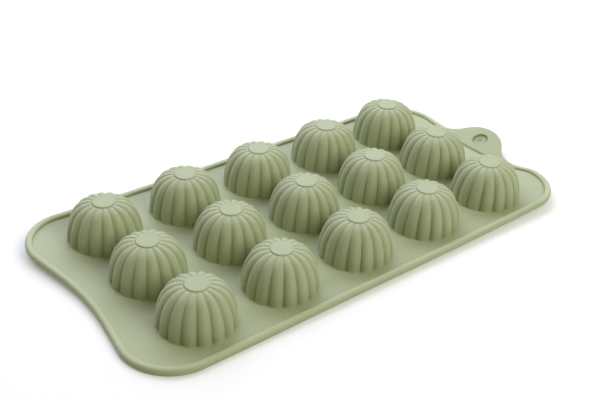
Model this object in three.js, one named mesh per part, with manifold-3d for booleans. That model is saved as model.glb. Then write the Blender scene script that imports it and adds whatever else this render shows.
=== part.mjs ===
// Silicone mould for small fluted chocolates, lying with its cups up.
// Millimetres, +Z up, +X along the length towards the pull tab, Z = 0 on the table.
import * as THREE from 'three';
import { mergeVertices } from 'three/addons/utils/BufferGeometryUtils.js';
import Module from 'manifold-3d';

const wasm = await Module();
wasm.setup();

// Pattern of cups
const columns = 5;
const rows = 3;
const columnGap = 7.4; // sheet left between neighbouring cups along the length
const rowGap = 2.3; // the same across the width

// One cup, measured outside, above the sheet
const cupRadius = 14.3; // to the crests of the ribs
const cupHeight = 15.7; // to the crown
const cupWall = 1.8;
const ribCount = 16;
const grooveDepth = 0.9;
const sideFullness = 3.9; // powers of the side curve: higher is squarer
const topFullness = 1.9;
const crownRadius = 4.1;
const crownRise = 0.2; // height of the crown over the ends of the ribs

// Sheet and rim
const sheetThickness = 1.5;
const endMargin = 15.8; // from the last column of cups to the lobes of a short end
const sideMargin = 6.5; // from the outer rows of cups to the long edges
const cornerRadius = 19.5;
const plainWaist = 4; // how far the plain short end is drawn in at its middle
const tabWaist = 3.2; // the same at the tab
const waistSpread = 1.5; // power of the waist's curve: lower is wider
const rimWidth = 2.5;
const rimRise = 1.4; // height of the bead above the sheet
const rimOuterRound = 1.2; // rounding of the bead's top outside
const rimInnerRound = 0.5; // the same towards the sheet

// Pull tab
const tabRadius = 14.5;
const tabReach = 9.8; // from the rim's edge to the tip
const tabFillet = 4; // hollow corners where the tab leaves the rim
const tabThickness = 2.2;
const tabLift = 4.6; // height of the bent-up tip over the table
const seatDiameter = 7;
const seatDepth = 1.2;
const seatFromTip = 7.3; // from the tip to the middle of the sunk seat
const dimpleDiameter = 2.8; // small round mark in the middle of the seat
const dimpleDepth = 0.4;

// Clearance between regions of the moulding that lie side by side
const seam = 0.3;

// Fineness of the facets
const pointsPerRib = 3;
const outerRings = [0, 30, 50, 68]; // degrees up the side curve, foot to crown
const innerRings = [62, 36, 0]; // the same inside, back down to the foot
const mouthSides = 24;
const cornerSteps = 6;
const waistSteps = 10;
const beadOuterSteps = 4;
const beadInnerSteps = 2;
const tabSteps = 12;
const filletSteps = 4;

// Sizes that follow from the ones above
const columnPitch = 2 * cupRadius + columnGap;
const rowPitch = 2 * cupRadius + rowGap;
const halfLength = ((columns - 1) * columnPitch) / 2 + cupRadius + endMargin;
const halfWidth = ((rows - 1) * rowPitch) / 2 + cupRadius + sideMargin;
const lobeY = halfWidth - cornerRadius;
const rimTop = sheetThickness + rimRise;
const ribHeight = cupHeight - crownRise;
const crownHole = crownRadius + seam;
const tabEdgeX = endX(tabRadius, tabWaist);
const tabTipX = tabEdgeX + tabReach;
const tabCentreX = tabTipX - tabRadius;
const tabInnerX = endX(0, tabWaist) - 2 * rimWidth;
const filletX = tabEdgeX + tabFillet;
const filletY = Math.sqrt((tabRadius + tabFillet) ** 2 - (filletX - tabCentreX) ** 2);

function silicone() {
  return new THREE.MeshStandardMaterial({ color: 0xa8b38f, roughness: 0.6, metalness: 0 });
}

// Edge of a short end: a shallow bay from lobe to lobe, deepest in the middle
function endX(y, waist) {
  return halfLength - waist * (1 - (y / lobeY) ** 2) ** waistSpread;
}

// Outline of the end towards +X at a distance inside its edge: corner, bay, corner
function endOutline(waist, inset) {
  const cornerX = halfLength - cornerRadius;
  const radius = cornerRadius - inset;
  const quarter = Math.PI / 2;
  const bay = [];
  for (let step = 1; step < waistSteps; step++) {
    const y = lobeY * ((2 * step) / waistSteps - 1);
    bay.push(new THREE.Vector2(endX(y, waist) - inset, y));
  }
  return [
    ...new THREE.EllipseCurve(cornerX, -lobeY, radius, radius, -quarter, 0).getPoints(cornerSteps),
    ...bay,
    ...new THREE.EllipseCurve(cornerX, lobeY, radius, radius, 0, quarter).getPoints(cornerSteps),
  ];
}

// Outline of the whole moulding, counter-clockwise: the plain end is an end turned by half a turn
function mouldOutline(inset) {
  const plainEnd = endOutline(plainWaist, inset).map((point) => point.negate());
  return [...endOutline(tabWaist, inset), ...plainEnd];
}

// Closed skin over a loop of rings, each counter-clockwise from above, going up outside and down inside.
// Neighbouring rings may differ in their number of points: the nearer next point is taken each time.
function skinOverRings(rings) {
  const positions = [];
  const triangles = [];
  const firsts = [];
  for (const ring of rings) {
    firsts.push(positions.length / 3);
    ring.forEach((point) => positions.push(point.x, point.y, point.z));
  }
  rings.forEach((ring, place) => {
    const nextPlace = (place + 1) % rings.length;
    const count = ring.length;
    const nextCount = rings[nextPlace].length;
    const here = (step) => firsts[place] + (step % count);
    const there = (step) => firsts[nextPlace] + (step % nextCount);
    let a = 0;
    let b = 0;
    while (a < count || b < nextCount) {
      if ((a + 0.5) / count <= (b + 0.5) / nextCount) {
        triangles.push(here(a), here(a + 1), there(b));
        a += 1;
      } else {
        triangles.push(here(a), there(b + 1), there(b));
        b += 1;
      }
    }
  });
  const geometry = new THREE.BufferGeometry();
  geometry.setAttribute('position', new THREE.Float32BufferAttribute(positions, 3));
  geometry.setIndex(triangles);
  return geometry;
}

function toManifold(geometry) {
  const bare = geometry.clone();
  bare.deleteAttribute('normal');
  bare.deleteAttribute('uv');
  const merged = mergeVertices(bare);
  const vertProperties = new Float32Array(merged.attributes.position.array);
  const triVerts = new Uint32Array(merged.index.array);
  return new wasm.Manifold(new wasm.Mesh({ numProp: 3, vertProperties, triVerts }));
}

function subtract(geometry, ...cutters) {
  let solid = toManifold(geometry);
  for (const cutter of cutters) {
    solid = solid.subtract(toManifold(cutter));
  }
  const mesh = solid.getMesh();
  const result = new THREE.BufferGeometry();
  result.setAttribute('position', new THREE.BufferAttribute(mesh.vertProperties, 3));
  result.setIndex(new THREE.BufferAttribute(mesh.triVerts, 1));
  return result;
}

function plate(points, bottom, top, holes = []) {
  const shape = new THREE.Shape(points);
  shape.holes = holes.map((hole) => new THREE.Path(hole));
  const geometry = new THREE.ExtrudeGeometry(shape, { depth: top - bottom, bevelEnabled: false });
  return geometry.translate(0, 0, bottom);
}

function roundCutter(diameter, x, bottom, top) {
  const cutter = new THREE.CylinderGeometry(diameter / 2, diameter / 2, top - bottom, mouthSides);
  cutter.rotateX(Math.PI / 2);
  return cutter.translate(x, 0, (bottom + top) / 2);
}

// Flat web between the cups, with a round mouth under each of them
function baseSheet() {
  const mouthRadius = cupRadius - cupWall;
  const mouths = cupPlaces().map(({ x, y }) =>
    new THREE.EllipseCurve(x, y, mouthRadius, mouthRadius).getPoints(mouthSides).slice(1),
  );
  return plate(mouldOutline(rimWidth + seam), 0, sheetThickness, mouths);
}

// Quarter of a circle over the top of the bead, from one angle to another
function beadCorner(inset, radius, start, end, steps) {
  return new THREE.EllipseCurve(inset, rimTop - radius, radius, radius, start, end, true).getPoints(steps);
}

// Bead with an upright outer side, a round top edge and a step down to the sheet, carried round the outline
function rimBead() {
  const quarter = Math.PI / 2;
  const section = [
    new THREE.Vector2(0, 0),
    ...beadCorner(rimOuterRound, rimOuterRound, 2 * quarter, quarter, beadOuterSteps),
    ...beadCorner(rimWidth - rimInnerRound, rimInnerRound, quarter, 0, beadInnerSteps),
    new THREE.Vector2(rimWidth, 0),
  ];
  const rings = section.map(({ x: inset, y: height }) =>
    mouldOutline(inset).map((point) => new THREE.Vector3(point.x, point.y, height)),
  );
  const tabGap = new THREE.BoxGeometry(tabTipX - tabInnerX, 2 * (filletY + seam), 4 * rimTop);
  tabGap.translate((tabTipX + tabInnerX) / 2, 0, 0);
  return subtract(skinOverRings(rings), tabGap);
}

// Round tab, thinner than the rim and rising from its root to its tip.
// Two hollow corners touch the rim's edge and the tab's own circle.
function pullTab() {
  const touch = Math.atan2(filletY, filletX - tabCentreX);
  const back = Math.PI;
  const hollow = new THREE.EllipseCurve(filletX, -filletY, tabFillet, tabFillet, back, back - touch, true);
  const hollowPoints = [new THREE.Vector2(tabInnerX, -filletY), ...hollow.getPoints(filletSteps)];
  const tip = new THREE.EllipseCurve(tabCentreX, 0, tabRadius, tabRadius, -touch, touch);
  const outline = [
    ...hollowPoints,
    ...tip.getPoints(tabSteps).slice(1, -1),
    ...hollowPoints.map((point) => new THREE.Vector2(point.x, -point.y)).reverse(),
  ];
  const seatX = tabTipX - seatFromTip;
  const seatFloor = tabThickness - seatDepth;
  const tab = subtract(
    plate(outline, 0, tabThickness),
    plate(mouldOutline(rimWidth), -rimTop, 2 * rimTop),
    roundCutter(seatDiameter, seatX, seatFloor, 2 * rimTop),
    roundCutter(dimpleDiameter, seatX, seatFloor - dimpleDepth, 2 * rimTop),
  );
  const rootX = endX(0, tabWaist) - rimWidth;
  const slope = tabLift / (tabTipX - rootX);
  const lift = new THREE.Matrix4().makeShear(0, slope, 0, 0, 0, 0);
  return tab.translate(-rootX, 0, 0).applyMatrix4(lift).translate(rootX, 0, 0);
}

// Point and outward normal of the rib crests, from the foot (turn 0) to the top (turn 90 degrees):
// a quarter of a superellipse
function crestCurve(turn) {
  const across = Math.cos(turn) ** (2 / sideFullness);
  const up = Math.sin(turn) ** (2 / topFullness);
  const normal = new THREE.Vector2(
    (sideFullness / cupRadius) * across ** (sideFullness - 1),
    (topFullness / ribHeight) * up ** (topFullness - 1),
  );
  return { point: new THREE.Vector2(cupRadius * across, ribHeight * up), normal: normal.normalize() };
}

// Ring of the fluted wall: convex ribs between sharp grooves, which grow shallow towards the crown
function ribbedRing(turn, depth) {
  const { point, normal } = crestCurve(turn);
  const count = ribCount * pointsPerRib;
  const ring = [];
  for (let step = 0; step < count; step++) {
    const angle = (2 * Math.PI * step) / count;
    const groove = grooveDepth * (point.x / cupRadius) * (1 - Math.abs(Math.sin((ribCount * angle) / 2)));
    const inwards = depth + groove;
    const radius = point.x - inwards * normal.x;
    const height = Math.max(point.y - inwards * normal.y, 0);
    const around = angle + Math.PI / ribCount;
    ring.push(new THREE.Vector3(radius * Math.cos(around), radius * Math.sin(around), height));
  }
  return ring;
}

// Plain ring with one point at each groove
function plainRing(radius, height) {
  const ring = [];
  for (let rib = 0; rib < ribCount; rib++) {
    const around = (2 * Math.PI * (rib + 0.5)) / ribCount;
    ring.push(new THREE.Vector3(radius * Math.cos(around), radius * Math.sin(around), height));
  }
  return ring;
}

// Hollow fluted wall of one cup, of even thickness, open below and round the crown
function cupWallSkin() {
  const outerTurns = outerRings.map(THREE.MathUtils.degToRad);
  const innerTurns = innerRings.map(THREE.MathUtils.degToRad);
  const topTurn = Math.acos((crownHole / cupRadius) ** (sideFullness / 2));
  const lip = crestCurve(topTurn).point.y;
  return skinOverRings([
    ...outerTurns.map((turn) => ribbedRing(turn, 0)),
    plainRing(crownHole, lip),
    plainRing(crownHole, lip - cupWall),
    ...innerTurns.map((turn) => ribbedRing(turn, cupWall)),
  ]);
}

// Flat crown that closes a cup
function cupCrown() {
  const crown = new THREE.CylinderGeometry(crownRadius, crownRadius, cupWall, ribCount);
  crown.rotateX(Math.PI / 2);
  crown.rotateZ(Math.PI / ribCount);
  return crown.translate(0, 0, cupHeight - cupWall / 2);
}

// Centres of the cups: rows from front to back, columns towards the tab
function cupPlaces() {
  const places = [];
  for (let row = 0; row < rows; row++) {
    for (let column = 0; column < columns; column++) {
      const x = (column - (columns - 1) / 2) * columnPitch;
      const y = (row - (rows - 1) / 2) * rowPitch;
      places.push({ x, y, label: String.fromCharCode('a'.charCodeAt(0) + row) + (column + 1) });
    }
  }
  return places;
}

// The middle of the overall length lies at X = 0
const mould = new THREE.Group();
mould.position.x = (halfLength - tabTipX) / 2;

function addPiece(name, geometry, x = 0, y = 0, z = 0) {
  const piece = new THREE.Mesh(geometry, silicone());
  piece.name = name;
  piece.position.set(x, y, z);
  mould.add(piece);
}

addPiece('base_sheet', baseSheet());
addPiece('rim_bead', rimBead());
addPiece('pull_tab', pullTab());
for (const { x, y, label } of cupPlaces()) {
  addPiece(`cup_wall_${label}`, cupWallSkin(), x, y, sheetThickness);
  addPiece(`cup_crown_${label}`, cupCrown(), x, y, sheetThickness);
}

export default mould;
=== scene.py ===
import math

import bmesh
import bpy
import numpy as np
from mathutils import Matrix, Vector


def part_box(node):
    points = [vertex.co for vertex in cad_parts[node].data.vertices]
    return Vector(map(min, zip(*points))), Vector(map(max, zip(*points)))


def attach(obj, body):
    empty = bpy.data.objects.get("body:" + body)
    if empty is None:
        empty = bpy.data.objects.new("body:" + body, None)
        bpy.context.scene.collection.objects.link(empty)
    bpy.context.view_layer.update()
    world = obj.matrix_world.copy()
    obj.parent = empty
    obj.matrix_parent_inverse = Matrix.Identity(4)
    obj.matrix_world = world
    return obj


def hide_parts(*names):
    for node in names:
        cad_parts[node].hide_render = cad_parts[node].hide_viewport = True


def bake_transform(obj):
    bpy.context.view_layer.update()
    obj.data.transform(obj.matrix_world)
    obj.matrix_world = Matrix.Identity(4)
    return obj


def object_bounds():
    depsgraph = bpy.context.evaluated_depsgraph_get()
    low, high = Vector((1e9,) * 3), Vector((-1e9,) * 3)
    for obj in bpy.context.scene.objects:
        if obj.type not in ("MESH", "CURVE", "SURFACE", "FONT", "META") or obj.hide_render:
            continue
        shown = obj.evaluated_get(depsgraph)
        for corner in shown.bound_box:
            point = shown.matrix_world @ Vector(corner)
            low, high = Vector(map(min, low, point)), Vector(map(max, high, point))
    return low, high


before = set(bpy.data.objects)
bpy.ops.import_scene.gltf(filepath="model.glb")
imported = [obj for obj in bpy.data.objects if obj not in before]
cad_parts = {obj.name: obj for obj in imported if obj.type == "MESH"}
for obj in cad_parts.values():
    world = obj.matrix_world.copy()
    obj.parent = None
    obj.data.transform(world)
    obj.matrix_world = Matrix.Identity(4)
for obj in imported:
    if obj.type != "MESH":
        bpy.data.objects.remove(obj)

cad_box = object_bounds()

# The sheet is the thin flat web that carries the cups, cast in one shot with them from silicone.
# It is open below each cup and ends in a bead all round. Its short ends are drawn in at the middle,
# and its soft edge curls a little off the table.
sheet_low, sheet_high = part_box("base_sheet")
rim_low, rim_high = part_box("rim_bead")
sheet_top = sheet_high.z
middle_x = (rim_low.x + rim_high.x) / 2
half_length = (rim_high.x - rim_low.x) / 2
half_width = (rim_high.y - rim_low.y) / 2
corner_radius = 19.5e-3
corner_x = half_length - corner_radius
lobe_y = half_width - corner_radius
plain_waist = 4.0e-3  # how far each short end is drawn in
tab_waist = 3.4e-3
waist_spread = 1.5  # power that makes the bay between the corners narrower
rim_width = 2.8e-3
sheet_tuck = 0.15e-3  # how far the sheet's top runs in under the bead
edge_lift = 0.7e-3  # the soft edge curls up off the table by this much
edge_twist = 2.0e-3  # and by this much more, or less, at opposite corners
flat_x = 78.0e-3  # the sheet lies flat this far out from its middle
flat_y = 40.0e-3
tab_flat_y = 20.0e-3  # and this far to either side of the tab
row_letters = "abc"
column_digits = "12345"
cup_labels = [row + column for row in row_letters for column in column_digits]
crest_over_box = 0.2e-3  # the box of a cup's faceted wall lies this far inside the crests of its ribs
hole_inset = 0.85e-3  # the sheet's hole lies this far inside the ribs' crests, hidden in the cup's wall
tile_steps_x = 36
tile_steps_y = 30
tile_rings = 7
border_rings = 6
sheet_sharp_angle = 40  # edges of the mesh that turn by more degrees than this stay sharp
tiny = 1e-9  # lengths under this count as none


def cup_place(label):
    """Middle of a cup in plan, from the box of its wall."""
    low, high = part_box("cup_wall_" + label)
    return (low.x + high.x) / 2, (low.y + high.y) / 2


def cup_size():
    """Radius over the ribs and height over the sheet of a cup, from the boxes of its wall and its crown."""
    low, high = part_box("cup_wall_a1")
    return (high.x - low.x) / 2 + crest_over_box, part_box("cup_crown_a1")[1].z - sheet_top


cup_radius, cup_height = cup_size()
hole_radius = cup_radius - hole_inset
column_pitch = cup_place("a2")[0] - cup_place("a1")[0]
row_pitch = cup_place("b1")[1] - cup_place("a1")[1]


def end_edge(y, waist):
    """Distance of a short end from the middle: the half length, less a bay whose depth falls from the waist
    at y = 0 to nothing at the corners, as a power of one minus the square of y's share."""
    share = np.clip(1 - (y / lobe_y) ** 2, 0, 1)
    return half_length - waist * share**waist_spread


def smooth_step(share):
    """S-curve from 0 to 1: three times the square of the share less twice its cube."""
    share = np.clip(share, 0, 1)
    return share * share * (3 - 2 * share)


def edge_curl(x, y):
    """Height of the soft sheet over the table: none among the cups and at the tab, and along the other edges
    a lift with a twist, which grows with the square of the distance from the middle of the length."""
    beside = smooth_step((np.abs(y) - tab_flat_y) / (lobe_y - tab_flat_y))
    along = smooth_step((np.abs(x) - flat_x) / (half_length - flat_x)) * np.where(x > 0, beside, 1)
    across = smooth_step((np.abs(y) - flat_y) / (half_width - flat_y))
    outside = 1 - (1 - along) * (1 - across)
    lift = edge_lift - edge_twist * x * np.abs(x) / half_length**2 * y / half_width
    return outside * np.clip(lift, 0, None)


def rectangle_ring(half_x, half_y, steps_x, steps_y):
    """Points round a rectangle, counter-clockwise from its corner at +x, -y, evenly spaced on each side."""
    up = np.linspace(-half_y, half_y, steps_y, endpoint=False)
    left = np.linspace(half_x, -half_x, steps_x, endpoint=False)
    x = np.concatenate([np.full(steps_y, half_x), left, np.full(steps_y, -half_x), -left])
    y = np.concatenate([up, np.full(steps_x, half_y), -up, np.full(steps_x, -half_y)])
    return np.stack([x, y], -1)


def border_ring(inside, inset):
    """Point of the mould's outline, at a distance inside its edge, for each point of the cups' rectangle.
    Sides go straight out, ends go out to the bay, and what is left near a corner is spread over its arc."""
    x, y = np.abs(inside).T
    reach_x, reach_y = x.max(), y.max()
    waist = np.where(inside[:, 0] > 0, tab_waist, plain_waist)
    walk = np.where(y > reach_y - tiny, x - corner_x, reach_x - corner_x + reach_y - y)
    turn = np.clip(walk / (reach_x - corner_x + reach_y - lobe_y), 0, 1)
    angle = (1 - turn) * math.pi / 2
    radius = corner_radius - inset
    out_x = np.where(turn <= 0, x, corner_x + radius * np.cos(angle))
    out_y = np.where(turn >= 1, y, lobe_y + radius * np.sin(angle))
    out_x = np.where(turn >= 1, end_edge(y, waist) - inset, out_x)
    return np.sign(inside) * np.stack([out_x, out_y], -1)


def lattice_faces(rows, columns):
    """Quads between the rows of a grid whose columns close on themselves, as indices of its points."""
    row = np.arange(rows - 1)[:, None]
    column = np.arange(columns)[None, :]
    next_column = (column + 1) % columns
    corners = [(row, column), (row, next_column), (row + 1, next_column), (row + 1, column)]
    return np.stack([r * columns + c for r, c in corners], -1).reshape(-1, 4)


def sheet_patches():
    """Plans of the sheet's top and bottom: round each cup a fan of lines from its hole to the tile's edge,
    and round all the tiles a frame of lines out to the bead."""
    patches = []
    tile = rectangle_ring(column_pitch / 2, row_pitch / 2, tile_steps_x, tile_steps_y)
    hole = hole_radius * tile / np.hypot(tile[:, 0], tile[:, 1])[:, None]
    share = np.linspace(0, 1, tile_rings)[:, None, None]
    fan = hole + (tile - hole) * share
    for label in cup_labels:
        patches.append((fan + cup_place(label), fan + cup_place(label)))
    columns, rows = len(column_digits), len(row_letters)
    field = rectangle_ring(
        columns * column_pitch / 2, rows * row_pitch / 2, columns * tile_steps_x, rows * tile_steps_y
    )
    share = np.linspace(0, 1, border_rings)[:, None, None]
    above = field + (border_ring(field, rim_width - sheet_tuck) - field) * share
    below = field + (border_ring(field, rim_width) - field) * share
    patches.append((above + (middle_x, 0), below + (middle_x, 0)))
    return patches


def sheet_rise(plan):
    """Curl of the sheet at points of its plan, given in the frame of the whole mould."""
    return edge_curl(plan[..., 0] - middle_x, plan[..., 1])


def sheet_mesh():
    """Points and quads of all patches of the sheet at both faces, with a wall in each hole and at the outer
    edge. Neighbouring patches repeat the points that they share."""
    points, faces = [], []
    count = 0
    for place, (above, below) in enumerate(sheet_patches()):
        rows, columns = above.shape[:2]
        upper = np.dstack([above, sheet_top + sheet_rise(above)]).reshape(-1, 3)
        lower = np.dstack([below, sheet_low.z + sheet_rise(below)]).reshape(-1, 3)
        quads = lattice_faces(rows, columns)
        last_patch = place == len(cup_labels)
        edge = np.arange(columns) + (rows - 1) * columns * last_patch
        following = np.roll(edge, -1)
        shift = rows * columns
        if last_patch:
            wall = np.stack([edge, edge + shift, following + shift, following], -1)
        else:
            wall = np.stack([edge, following, following + shift, edge + shift], -1)
        points.append(np.concatenate([upper, lower]))
        faces.append(np.concatenate([quads[:, ::-1], quads + shift, wall[:, ::-1]]) + count)
        count += 2 * shift
    return np.concatenate(points), np.concatenate(faces)


def into_scene(name, data):
    """Object at the origin for a mesh, a lamp or the camera, linked into the scene."""
    item = bpy.data.objects.new(name, data)
    bpy.context.scene.collection.objects.link(item)
    return item


def solid_piece(name, points, faces, caps=()):
    """Smooth mesh object at the origin from points, quads and rings of indices that close its ends."""
    mesh = bpy.data.meshes.new(name)
    mesh.from_pydata(points.tolist(), [], faces.tolist() + [list(ring) for ring in caps])
    mesh.polygons.foreach_set("use_smooth", np.ones(len(mesh.polygons), bool))
    mesh.update()
    return into_scene(name, mesh)


def weld(piece, distance=2e-6):
    """Joins points that lie together, and turns all faces outwards."""
    work = bmesh.new()
    work.from_mesh(piece.data)
    bmesh.ops.remove_doubles(work, verts=work.verts, dist=distance)
    bmesh.ops.recalc_face_normals(work, faces=work.faces)
    work.to_mesh(piece.data)
    work.free()
    piece.data.polygons.foreach_set("use_smooth", np.ones(len(piece.data.polygons), bool))


sage_low = (0.377, 0.412, 0.238, 1)
sage_high = (0.407, 0.444, 0.26, 1)
# painted highlight: the paler tone laid on the bead's top, where the back light falls
sage_painted_highlight = (0.442, 0.481, 0.283, 1)
# painted shade: the deeper tone laid in the cups' grooves and in the tab's seat and dimple
sage_painted_shade = (0.3, 0.33, 0.18, 1)
drift_scale = 45  # patches of about 2 cm
drift_detail = 3
grain_scale = 4200  # grains of about a quarter of a millimetre
grain_detail = 2
grain_bump = 0.12
grain_height = 4e-5
satin_low = 0.5
satin_high = 0.62
silicone_specular = 0.4


def silicone(name):
    """Satin silicone rubber: a sage tone that drifts a little over the moulding, with a painted highlight
    where a mesh carries the share "crest" and painted shade where it carries "groove", with a fine blasted
    grain from the tool in its gloss and its bump."""
    material = bpy.data.materials.new(name)
    material.use_nodes = True
    nodes = material.node_tree.nodes
    links = material.node_tree.links
    shader = nodes["Principled BSDF"]
    shader.inputs["Specular IOR Level"].default_value = silicone_specular
    place = nodes.new("ShaderNodeTexCoord")
    drift = nodes.new("ShaderNodeTexNoise")
    drift.inputs["Scale"].default_value = drift_scale
    drift.inputs["Detail"].default_value = drift_detail
    grain = nodes.new("ShaderNodeTexNoise")
    grain.inputs["Scale"].default_value = grain_scale
    grain.inputs["Detail"].default_value = grain_detail
    for texture in (drift, grain):
        links.new(place.outputs["Object"], texture.inputs["Vector"])
    tone = nodes.new("ShaderNodeMix")
    tone.data_type = "RGBA"
    tone.inputs["A"].default_value = sage_low
    tone.inputs["B"].default_value = sage_high
    links.new(drift.outputs["Fac"], tone.inputs["Factor"])
    # the share "crest" mixes in a painted highlight, the share "groove" mixes in painted shade
    for share_name, other_tone in (("crest", sage_painted_highlight), ("groove", sage_painted_shade)):
        share = nodes.new("ShaderNodeAttribute")
        share.attribute_name = share_name
        mixed = nodes.new("ShaderNodeMix")
        mixed.data_type = "RGBA"
        mixed.inputs["B"].default_value = other_tone
        links.new(share.outputs["Fac"], mixed.inputs["Factor"])
        links.new(tone.outputs["Result"], mixed.inputs["A"])
        tone = mixed
    links.new(tone.outputs["Result"], shader.inputs["Base Color"])
    gloss = nodes.new("ShaderNodeMapRange")
    gloss.inputs["To Min"].default_value = satin_low
    gloss.inputs["To Max"].default_value = satin_high
    links.new(grain.outputs["Fac"], gloss.inputs["Value"])
    links.new(gloss.outputs["Result"], shader.inputs["Roughness"])
    bump = nodes.new("ShaderNodeBump")
    bump.inputs["Strength"].default_value = grain_bump
    bump.inputs["Distance"].default_value = grain_height
    links.new(grain.outputs["Fac"], bump.inputs["Height"])
    links.new(bump.outputs["Normal"], shader.inputs["Normal"])
    return material


sage_silicone = silicone("sage_silicone")
sheet = solid_piece("base_sheet_web", *sheet_mesh())
weld(sheet)
sheet.data.set_sharp_from_angle(angle=math.radians(sheet_sharp_angle))
sheet.data.materials.append(sage_silicone)
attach(sheet, "moulding")
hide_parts("base_sheet")

# The rim is the solid silicone bead that stiffens the sheet's edge, upright outside with a round top edge,
# and stepped down to the sheet inside. It is moulded with the sheet, runs from one side of the pull tab
# round to the other, and thins down to the tab at its ends.
bead_shortfall = 0.4e-3  # the bead stands this much lower than the top of its box
rim_top = rim_high.z - bead_shortfall
rim_round = 1.3e-3
rim_foot_round = 0.6e-3
shoulder_round = 0.8e-3
bead_steps = 9
painted_highlight_band = 0.8e-3  # the painted highlight on the bead's top fades out over this height
rim_stations = 900
rim_sharp_angle = 50
rim_overlap = 1.0e-3  # how far each end of the bead runs into the tab
tab_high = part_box("pull_tab")[1]
tab_tip = tab_high.x - middle_x
tab_radius = 14.5e-3
tab_reach = 9.2e-3
tab_fillet = 9.5e-3
tab_middle = tab_tip - tab_radius
fillet_x = tab_tip - tab_reach + tab_fillet
fillet_y = math.sqrt((tab_radius + tab_fillet) ** 2 - (fillet_x - tab_middle) ** 2)
root_half = fillet_y - rim_overlap
tab_thickness = 2.2e-3
tab_slope = (tab_high.z - tab_thickness) / (tab_tip - (half_length - tab_waist - rim_width))
lift_full = 15.0e-3  # the bead rises with the tab this far from the tab's middle line
lift_none = 28.0e-3  # and lies as the sheet does from here on


def tab_share(x, y):
    """1 at the tab and 0 away from it, with an s-curve along the bead on both sides."""
    return np.where(x > 0, 1 - smooth_step((np.abs(y) - lift_full) / (lift_none - lift_full)), 0)


def bent(x, y, height):
    """Heights after bending: the bead thins down to the tab, the tab slopes up from the bead's inner edge,
    and the soft edge curls."""
    share = tab_share(x, y)
    reach = np.clip(x - (end_edge(y, tab_waist) - rim_width), 0, None)
    thinner = 1 - (1 - tab_thickness / rim_top) * share
    return height * thinner + tab_slope * reach * share + edge_curl(x, y)


def even_points(line, count, closed):
    """Points at even steps along a line, with straight stretches between the points given."""
    if closed:
        line = np.concatenate([line, line[:1]])
    length = np.concatenate([[0], np.cumsum(np.hypot(*np.diff(line, axis=0).T))])
    keep = np.concatenate([[True], np.diff(length) > tiny])
    at = np.linspace(0, length[-1], count, endpoint=not closed)
    return np.stack([np.interp(at, length[keep], line[keep, k]) for k in range(2)], -1)


def arc(x, y, radius, start, stop, steps=60):
    """Points on an arc about (x, y), from one angle to another in degrees."""
    angle = np.radians(np.linspace(start, stop, steps))
    return np.stack([x + radius * np.cos(angle), y + radius * np.sin(angle)], -1)


def bay(waist, start, stop, steps=200):
    """Points along a short end towards +x, from one y to another."""
    y = np.linspace(start, stop, steps)
    return np.stack([end_edge(y, waist), y], -1)


def rim_path():
    """The mould's edge, counter-clockwise from the tab's root at +y to its root at -y."""
    return np.concatenate([
        bay(tab_waist, root_half, lobe_y),
        arc(corner_x, lobe_y, corner_radius, 0, 90),
        arc(-corner_x, lobe_y, corner_radius, 90, 180),
        -bay(plain_waist, -lobe_y, lobe_y),
        arc(-corner_x, -lobe_y, corner_radius, 180, 270),
        arc(corner_x, -lobe_y, corner_radius, 270, 360),
        bay(tab_waist, -lobe_y, -root_half),
    ])


def inward_normals(line, closed):
    """Unit normals to the left of a line, which is inwards on a counter-clockwise outline."""
    if closed:
        along = np.roll(line, -1, 0) - np.roll(line, 1, 0)
    else:
        along = np.gradient(line, axis=0)
    along /= np.hypot(along[:, 0], along[:, 1])[:, None]
    return np.stack([-along[:, 1], along[:, 0]], -1)


def bead_section():
    """Inset and height round the bead: a small round at the foot, an upright outer side, a round top edge,
    a flat top, a rounded step down to the sheet, and the flat underside."""
    turn = np.linspace(0, math.pi / 2, bead_steps)
    foot_inset = rim_foot_round * (1 - np.sin(turn))
    foot_height = sheet_low.z + rim_foot_round * (1 - np.cos(turn))
    outer_inset = rim_round * (1 - np.cos(turn))
    outer_height = rim_top - rim_round * (1 - np.sin(turn))
    step_inset = rim_width - shoulder_round * (1 - np.sin(turn))
    step_height = rim_top - shoulder_round * (1 - np.cos(turn))
    inset = np.concatenate([foot_inset, outer_inset, step_inset, [rim_width, rim_width]])
    inside_height = [sheet_top - sheet_tuck, sheet_low.z]
    return inset, np.concatenate([foot_height, outer_height, step_height, inside_height])


def rim_points():
    """The bead's section carried along the mould's edge, square to it, and lifted beside the tab, with the
    share of the painted highlight: full on the bead's top, less below it and towards the tab."""
    path = even_points(rim_path(), rim_stations, closed=False)
    normals = inward_normals(path, closed=False)
    inset, height = bead_section()
    flat = path[:, None, :] + normals[:, None, :] * inset[None, :, None]
    x, y = flat[..., 0], flat[..., 1]
    # painted highlight: the bead's top is made paler, fading down its sides and towards the tab
    painted_highlight = smooth_step(1 - (rim_top - height) / painted_highlight_band) * (1 - tab_share(x, y))
    return np.dstack([x + middle_x, y, bent(x, y, height)]), painted_highlight


def enclosed_volume(points, faces):
    """Six times the volume inside quads, below zero if they face inwards: for each, the dot product of its
    first corner with the cross products of the corners that follow."""
    a, b, c, d = (points[faces[:, k]] for k in range(4))
    return np.sum(a * (np.cross(b, c) + np.cross(c, d)))


def ringed_piece(name, grid):
    """Closed mesh over rings of points, each joined to the next, with a flat cap on the first and the last,
    and all faces outwards."""
    rings, columns = grid.shape[:2]
    points = grid.reshape(-1, 3)
    faces = lattice_faces(rings, columns)
    first = np.arange(columns)
    caps = [first[::-1], first + (rings - 1) * columns]
    if enclosed_volume(points, faces) < 0:
        faces = faces[:, ::-1]
        caps = [ring[::-1] for ring in caps]
    return solid_piece(name, points, faces, caps)


def set_share(piece, name, share):
    """Share from 0 to 1 at each point of a mesh, which the silicone reads by its name."""
    layer = piece.data.attributes.new(name, "FLOAT", "POINT")
    layer.data.foreach_set("value", share.ravel().astype(np.float32))


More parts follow.
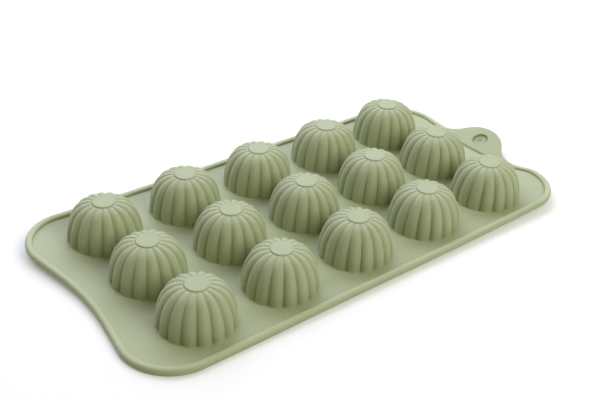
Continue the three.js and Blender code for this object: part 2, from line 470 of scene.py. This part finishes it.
rim_grid, rim_painted_highlight = rim_points()
rim = ringed_piece("rim_bead_round", rim_grid)
set_share(rim, "crest", rim_painted_highlight)
weld(rim)
rim.data.set_sharp_from_angle(angle=math.radians(rim_sharp_angle))
rim.data.materials.append(sage_silicone)
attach(rim, "moulding")
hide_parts("rim_bead")

# The pull tab is a flat ear of the same silicone at one end, bent up a little, to lift and peel the mould by.
# It is thinner than the bead, and a round seat with a small dimple is sunk in its upper face.
unthinned = rim_top / tab_thickness  # depths are given before the bead's height thins down to the tab
seat_from_tip = 7.3e-3
seat_x = tab_tip - seat_from_tip
seat_radius = 3.35e-3
seat_depth = 1.0e-3 * unthinned
seat_swell = 0.3e-3 * unthinned  # rise of the seat's floor from its wall to the dimple
seat_foot = 0.2e-3  # width of the small hollow at the foot of the seat's wall
seat_edge_round = 0.15e-3
seat_edge_steps = 6
dimple_radius = 1.2e-3
dimple_depth = 0.4e-3 * unthinned
pole_radius = 0.05e-3  # radius of the innermost ring
pole_share = 0.01  # and of the innermost ring below, as a share of the outline
tab_edge_round = 0.7e-3
tab_columns = 420
tab_top_rings = 12
tab_edge_steps = 14
tab_sharp_angle = 60
dimple_rings = slice(0, 4)  # these rings of the mesh are in the dimple
seat_wall_rings = slice(5, 11)  # and these on the seat's wall; both get the painted shade of the cups' grooves
rim_half = rim_width / 2
root_start = 0.3e-3  # depth inside the mould's edge where the tab's round edge starts to become a step
root_blend = 2.5e-3  # length over which the bead's round edge becomes the tab's
root_taper = 0.5e-3  # the root runs on this far inside the bead, narrowing to its middle


def tab_outline():
    """Plan of the tab, counter-clockwise: the two hollow corners and the round end, then back along the
    bead's inner edge. The stretch between the corners and that edge lies inside the bead."""
    touch = math.degrees(math.atan2(fillet_y, fillet_x - tab_middle))
    hollow = arc(fillet_x, -fillet_y, tab_fillet, 180, 180 - touch)
    round_end = arc(tab_middle, 0, tab_radius, -touch, touch, steps=200)
    back = bay(tab_waist, root_half, -root_half) - (rim_width, 0)
    side_y = fillet_y + root_taper
    side_x = end_edge(side_y, tab_waist) - rim_half
    mirrored = hollow[::-1] * (1, -1)
    return np.concatenate([hollow, round_end, mirrored, [[side_x, side_y]], back, [[side_x, -side_y]]])


def root_share(outline):
    """Share of the root's step, against the round outer edge, in the section at each point of the outline:
    an s-curve of the point's depth inside the mould's edge."""
    depth = end_edge(outline[:, 1], tab_waist) - outline[:, 0]
    return smooth_step((depth - root_start) / (rim_half - root_start))


def seat_profile():
    """Radius and height from the middle of the dimple, over its soft edge, down the swelled floor, and up
    the wall and its round lip to the flat of the tab."""
    floor_height = rim_top - seat_depth
    swell = floor_height + seat_swell
    turn = np.linspace(0, math.pi / 2, seat_edge_steps)
    lip_radius = seat_radius + seat_edge_round * (1 - np.cos(turn))
    lip_height = rim_top - seat_edge_round * (1 - np.sin(turn))
    bottom = [
        (pole_radius, swell - dimple_depth),
        (0.6 * dimple_radius, swell - dimple_depth),
        (0.85 * dimple_radius, swell - 0.75 * dimple_depth),
        (dimple_radius, swell - 0.15 * dimple_depth),
        (1.15 * dimple_radius, swell),
        (seat_radius - seat_foot, floor_height),
        (seat_radius - 0.2 * seat_foot, floor_height + 0.1 * seat_foot),
        (seat_radius, floor_height + 0.5 * seat_foot),
    ]
    return np.concatenate([bottom, np.stack([lip_radius, lip_height], -1)])


def tab_points():
    """Rings from the middle of the seat out over the top, round the edge and back under to the middle."""
    outline = even_points(tab_outline(), tab_columns, closed=True)
    normals = inward_normals(outline, closed=True)
    root = root_share(outline)
    beyond = outline[:, 0] - end_edge(outline[:, 1], tab_waist)
    outer_round = rim_round + (tab_edge_round - rim_round) * smooth_step(beyond / root_blend)
    upper_round = outer_round + (shoulder_round - outer_round) * root
    lower_round = outer_round * (1 - root)
    inner = outline + normals * upper_round[:, None]
    middle = np.array([seat_x, 0])
    toward = inner - middle
    toward /= np.hypot(toward[:, 0], toward[:, 1])[:, None]
    radius, height = seat_profile().T
    seat = toward[None] * radius[:, None, None] + middle
    seat_height = np.repeat(height[:, None], tab_columns, 1)
    share = np.linspace(0, 1, tab_top_rings + 1)[1:, None, None]
    top = seat[-1] + (inner - seat[-1]) * share
    top_height = np.full(top.shape[:2], rim_top)
    turn = np.linspace(math.pi / 2, -math.pi / 2, tab_edge_steps)[1:, None]
    inset = np.where(turn > 0, upper_round, lower_round) * (1 - np.cos(turn))
    edge = outline[None] + normals[None] * inset[..., None]
    upper_height = rim_top - upper_round * (1 - np.sin(turn))
    lower_height = lower_round * (1 + np.sin(turn))
    edge_height = np.where(turn > 0, upper_height, lower_height)
    share = np.linspace(1, pole_share, tab_top_rings)[1:, None, None]
    under = middle + (edge[-1] - middle) * share
    under_height = np.full(under.shape[:2], sheet_low.z)
    x, y = np.moveaxis(np.concatenate([seat, top, edge, under]), -1, 0)
    height = np.concatenate([seat_height, top_height, edge_height, under_height])
    return np.dstack([x + middle_x, y, bent(x, y, height)])


tab_grid = tab_points()
# painted shade on the seat's wall and in the dimple
tab_painted_shade = np.zeros(tab_grid.shape[:2])
tab_painted_shade[dimple_rings] = 1
tab_painted_shade[seat_wall_rings] = 1
tab = ringed_piece("pull_tab_ear", tab_grid)
set_share(tab, "groove", tab_painted_shade)
weld(tab)
tab.data.set_sharp_from_angle(angle=math.radians(tab_sharp_angle))
tab.data.materials.append(sage_silicone)
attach(tab, "moulding")
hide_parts("pull_tab")

# Each cup is a thin fluted dome of silicone, hollow below, with convex ribs and a small flat crown.
# It is one skin with the sheet, and a thumb on the crown squashes it to push the set chocolate out.
rib_count = 16
rib_points = 18
groove_depth = 0.94e-3
rib_roundness = 0.8  # part of the depth that is the rib's even curve; the rest is the narrow groove
groove_sharpness = 3
side_fullness = 3.9
top_fullness = 1.9
cup_wall = 1.8e-3
crown_radius = 4.2e-3
crown_rise = 0.2e-3  # the crown stands this much over the ends of the ribs
crown_round = 0.3e-3
crown_steps = 6
crown_shares = (0.02, 0.3, 0.6, 0.82)  # radii of the rings on the flat crown, as shares of its own
inner_crown_shares = (0.7, 0.02)  # and below it
rib_height = cup_height - crown_rise
crease_width = 0.3e-3
crease_radius = crown_radius + crease_width
crease_depth = 0.25e-3
rib_tip = 1.5e-3  # length over which a rib's end rounds down to the crease
tip_norm = 3
foot_round = 0.15e-3
foot_tuck = 0.3e-3  # how far the skin goes on below the sheet's top
hole_gap = 0.05e-3  # between the skin and the edge of the sheet's hole
mouth_round = 0.5e-3
mouth_steps = 5
inner_painted_shade = 0.4  # the painted shade in the grooves is weaker inside
side_rows = 60
inner_rows = 36
fine_steps = 4000
cup_sharp_angle = 70


def crest_curve(turn):
    """Radius, height and outward normal of the rib crests, foot to top: a quarter of a superellipse, from the
    cosine and the sine of the turn, each to the power of two over its fullness."""
    across = np.cos(turn) ** (2 / side_fullness)
    up = np.sin(turn) ** (2 / top_fullness)
    normal = np.stack([
        side_fullness / cup_radius * across ** (side_fullness - 1),
        top_fullness / rib_height * up ** (top_fullness - 1),
    ], -1)
    normal /= np.hypot(normal[:, 0], normal[:, 1])[:, None]
    return cup_radius * across, rib_height * up, normal


def even_turns(rows):
    """Turns of the crest curve at even steps of its length, from the foot to the crease, and that length."""
    last_turn = math.acos((crease_radius / cup_radius) ** (side_fullness / 2))
    turn = np.linspace(0, last_turn, fine_steps)
    radius, height, _ = crest_curve(turn)
    length = np.concatenate([[0], np.cumsum(np.hypot(np.diff(radius), np.diff(height)))])
    return np.interp(np.linspace(0, length[-1], rows), length, turn), length[-1]


def fluted_rows(turn, depth, tip_share, angle):
    """Rows of the fluted skin: the crest curve moved in along its normal by a wall depth and by the grooves.
    Across a rib the dip follows one minus the size of a cosine, in part as it is and in part to a power,
    which makes the groove narrow, and it grows with the radius. The ribs' ends round down into the crease,
    and the two dips are joined by a p-norm."""
    radius, height, normal = crest_curve(turn)
    wave = 1 - np.abs(np.cos(rib_count * angle / 2))[None, :]
    across = rib_roundness * wave + (1 - rib_roundness) * wave**groove_sharpness
    side = groove_depth * (radius / cup_radius)[:, None] * across
    tip = (crease_depth * (1 - np.sqrt(1 - tip_share**2)))[:, None]
    groove = (side**tip_norm + tip**tip_norm) ** (1 / tip_norm)
    inwards = depth + groove
    return radius[:, None] - inwards * normal[:, :1], height[:, None] - inwards * normal[:, 1:], groove


def flared(radius, height):
    """Radius with a small hollow round added at the foot, where the skin meets the sheet."""
    down = np.clip(1 - height / foot_round, 0, 1)
    return radius + foot_round * (1 - np.sqrt(1 - down**2))


def cup_rings():
    """All rings of one cup about its own axis, over the sheet, from the middle of the crown down outside,
    under the foot, round the mouth and up inside to the middle again, with the grooves' share of painted
    shade at each."""
    count = rib_count * rib_points
    angle = np.linspace(0, 2 * math.pi, count, endpoint=False)
    even = np.ones(count)
    rings = []

    def plain(radius, height):
        """Adds a ring of one radius and one height, without grooves."""
        rings.append((radius * even, height * even, 0 * even))

    for share in crown_shares:
        plain(share * crown_radius, cup_height)
    for turn in np.linspace(0, math.pi / 2, crown_steps):
        radius = crown_radius - crown_round * (1 - math.sin(turn))
        plain(radius, cup_height - crown_round * (1 - math.cos(turn)))
    turns, length = even_turns(side_rows)
    to_crease = np.linspace(length, 0, side_rows)
    tip_share = np.clip(1 - to_crease / rib_tip, 0, 1)
    radius, height, groove = fluted_rows(turns, 0, tip_share, angle)
    radius = flared(radius, height)
    for row in range(side_rows - 1, -1, -1):
        rings.append((radius[row], height[row], groove[row] / groove_depth))
    foot = -sheet_top
    plain(hole_radius - hole_gap, -foot_tuck)
    plain(hole_radius - hole_gap, foot)
    mouth_radius = cup_radius - cup_wall
    for turn in np.linspace(0, math.pi / 2, mouth_steps):
        radius = mouth_radius + mouth_round * (1 - math.sin(turn))
        plain(radius, foot + mouth_round * (1 - math.cos(turn)))
    turns, _ = even_turns(inner_rows)
    radius, height, groove = fluted_rows(turns, cup_wall, np.zeros(inner_rows), angle)
    for row in range(inner_rows):
        tone = inner_painted_shade * groove[row] / groove_depth
        rings.append((radius[row], np.maximum(height[row], 0), tone))
    for share in inner_crown_shares:
        plain(share * crown_radius, cup_height - cup_wall)
    radius, height, groove = (np.stack(part) for part in zip(*rings))
    points = np.dstack([radius * np.cos(angle), radius * np.sin(angle), height + sheet_top])
    return points, groove


cup_grid, cup_painted_shade = cup_rings()
for label in cup_labels:
    x, y = cup_place(label)
    cup = ringed_piece("fluted_cup_" + label, cup_grid + (x, y, 0))
    # painted shade in the grooves, following their depth
    set_share(cup, "groove", cup_painted_shade)
    cup.data.set_sharp_from_angle(angle=math.radians(cup_sharp_angle))
    cup.data.materials.append(sage_silicone)
    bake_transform(cup)
    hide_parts("cup_wall_" + label, "cup_crown_" + label)

# The camera stands off one corner of the plain end, a little above, as for a catalogue picture.
# It looks nearly at the middle of the sheet's top and is tilted a few degrees to one side.
camera_azimuth = math.radians(-40.464)
camera_elevation = math.radians(32.198)
camera_roll = math.radians(3.306)
camera_distance = 407.3e-3
aim_right = -1.61e-3
aim_up = 5.68e-3
focal_length = 61.25
film_width = 36.0
nearest_seen = 0.01
farthest_seen = 20


def camera_axes():
    """Right, up and back directions of the camera from its azimuth, elevation and roll."""
    level = math.cos(camera_elevation)
    back = np.array([
        math.sin(camera_azimuth) * level, -math.cos(camera_azimuth) * level, math.sin(camera_elevation)
    ])
    right = np.array([math.cos(camera_azimuth), math.sin(camera_azimuth), 0])
    up = np.cross(back, right)
    cosine, sine = math.cos(camera_roll), math.sin(camera_roll)
    return cosine * right + sine * up, cosine * up - sine * right, back


camera_right, camera_up, camera_back = camera_axes()
sheet_middle = np.array([middle_x, 0, sheet_top])
camera_place = (
    sheet_middle + aim_right * camera_right + aim_up * camera_up + camera_distance * camera_back
)
camera_data = bpy.data.cameras.new("camera")
camera_data.lens = focal_length
camera_data.sensor_width = film_width
camera_data.clip_start = nearest_seen
camera_data.clip_end = farthest_seen
camera = into_scene("camera", camera_data)
camera.matrix_world = Matrix(np.stack([camera_right, camera_up, camera_back, camera_place], -1)).to_4x4()
bpy.context.scene.camera = camera

# The floor is a plain white table that runs out of sight.
# It shows as white and keeps the soft shadow of the mould.
floor_reach = 3.0
floor_corners = [(-1, -1), (1, -1), (1, 1), (-1, 1)]
floor_points = [(x * floor_reach, y * floor_reach, cad_box[0].z) for x, y in floor_corners]
table_white = (0.72, 0.72, 0.72, 1)  # for the light that the table throws back on the mould
seen_white = (0.86, 0.86, 0.86, 1)
near_glow = (0.18, 0.175, 0.16, 1)
far_glow = (1, 1, 1, 1)
glow_start = 0.15  # distance from the mould's middle where the glow starts to grow, and where it is full
glow_full = 0.5


def looked_at(nodes, links):
    """Socket that is 1 for a ray of the camera, of a reflection or through glass, and 0 for other rays: the
    largest of the three kinds."""
    path = nodes.new("ShaderNodeLightPath")
    seen = path.outputs["Is Camera Ray"]
    for kind in ("Is Glossy Ray", "Is Transmission Ray"):
        larger = nodes.new("ShaderNodeMath")
        larger.operation = "MAXIMUM"
        links.new(seen, larger.inputs[0])
        links.new(path.outputs[kind], larger.inputs[1])
        seen = larger.outputs[0]
    return seen


def white_table(name):
    """Matt white for the light that falls on it; seen by the camera or in a reflection it glows too, a little
    beside the mould and more with the distance, so that the open floor is white while the shadow stays."""
    material = bpy.data.materials.new(name)
    material.use_nodes = True
    nodes = material.node_tree.nodes
    links = material.node_tree.links
    nodes.clear()
    output = nodes.new("ShaderNodeOutputMaterial")
    matt = nodes.new("ShaderNodeBsdfDiffuse")
    matt.inputs["Color"].default_value = table_white
    shaded = nodes.new("ShaderNodeBsdfDiffuse")
    shaded.inputs["Color"].default_value = seen_white
    place = nodes.new("ShaderNodeTexCoord")
    distance = nodes.new("ShaderNodeVectorMath")
    distance.operation = "LENGTH"
    links.new(place.outputs["Object"], distance.inputs[0])
    far = nodes.new("ShaderNodeMapRange")
    far.inputs["From Min"].default_value = glow_start
    far.inputs["From Max"].default_value = glow_full
    links.new(distance.outputs["Value"], far.inputs["Value"])
    light = nodes.new("ShaderNodeMix")
    light.data_type = "RGBA"
    light.inputs["A"].default_value = near_glow
    light.inputs["B"].default_value = far_glow
    links.new(far.outputs["Result"], light.inputs["Factor"])
    glow = nodes.new("ShaderNodeEmission")
    links.new(light.outputs["Result"], glow.inputs["Color"])
    both = nodes.new("ShaderNodeAddShader")
    links.new(shaded.outputs[0], both.inputs[0])
    links.new(glow.outputs[0], both.inputs[1])
    choose = nodes.new("ShaderNodeMixShader")
    links.new(looked_at(nodes, links), choose.inputs["Fac"])
    links.new(matt.outputs[0], choose.inputs[1])
    links.new(both.outputs[0], choose.inputs[2])
    links.new(choose.outputs[0], output.inputs["Surface"])
    return material


floor_mesh = bpy.data.meshes.new("floor")
floor_mesh.from_pydata(floor_points, [], [(0, 1, 2, 3)])
floor_mesh.materials.append(white_table("white_table"))
floor = into_scene("floor", floor_mesh)

# The light is a studio tent whose middle stands a little towards the tab: three cool panels side by side
# behind the mould, one warmer lamp in front of it, and a faint warm surround.
bpy.context.scene.view_settings.view_transform = "Standard"
lamp_distance = 0.8
lamp_size = 0.6
lamp_rise = math.radians(40)
tent_shift = 0.12  # how far the tent's middle stands from the mould's middle, towards the tab
key_azimuth = 10
key_power = 4.0
key_tint = (0.98, 1.0, 0.92)
panel_powers = {110: 1.75, 160: 3.45, 210: 2.5}  # by azimuth
panel_tint = (0.95, 1.0, 1.29)
surround_tint = (1, 0.86, 0.4, 1)
surround_strength = 0.17
surround_white = (1, 1, 1, 1)


def soft_lamp(name, azimuth, power, tint):
    """Square lamp that faces the tent's middle; azimuth 0 stands in front, 90 at the tab's end."""
    data = bpy.data.lights.new(name, "AREA")
    data.size = lamp_size
    data.energy = power
    data.color = tint
    lamp = into_scene(name, data)
    turn = math.radians(azimuth)
    lamp.location = (
        tent_shift + lamp_distance * math.sin(turn) * math.cos(lamp_rise),
        -lamp_distance * math.cos(turn) * math.cos(lamp_rise),
        lamp_distance * math.sin(lamp_rise),
    )
    lamp.rotation_euler = (math.pi / 2 - lamp_rise, 0, turn)


def pale_surround(name):
    """World: faint warm light on the mould, and white where the camera, a reflection or glass looks at it."""
    world = bpy.data.worlds.new(name)
    world.use_nodes = True
    nodes = world.node_tree.nodes
    links = world.node_tree.links
    nodes.clear()
    output = nodes.new("ShaderNodeOutputWorld")
    light = nodes.new("ShaderNodeBackground")
    light.inputs["Color"].default_value = surround_tint
    light.inputs["Strength"].default_value = surround_strength
    white = nodes.new("ShaderNodeBackground")
    white.inputs["Color"].default_value = surround_white
    white.inputs["Strength"].default_value = 1
    choose = nodes.new("ShaderNodeMixShader")
    links.new(looked_at(nodes, links), choose.inputs["Fac"])
    links.new(light.outputs[0], choose.inputs[1])
    links.new(white.outputs[0], choose.inputs[2])
    links.new(choose.outputs[0], output.inputs["Surface"])
    return world


soft_lamp("key_lamp", key_azimuth, key_power, key_tint)
for azimuth, power in panel_powers.items():
    soft_lamp(f"back_panel_{azimuth}", azimuth, power, panel_tint)
bpy.context.scene.world = pale_surround("surround")
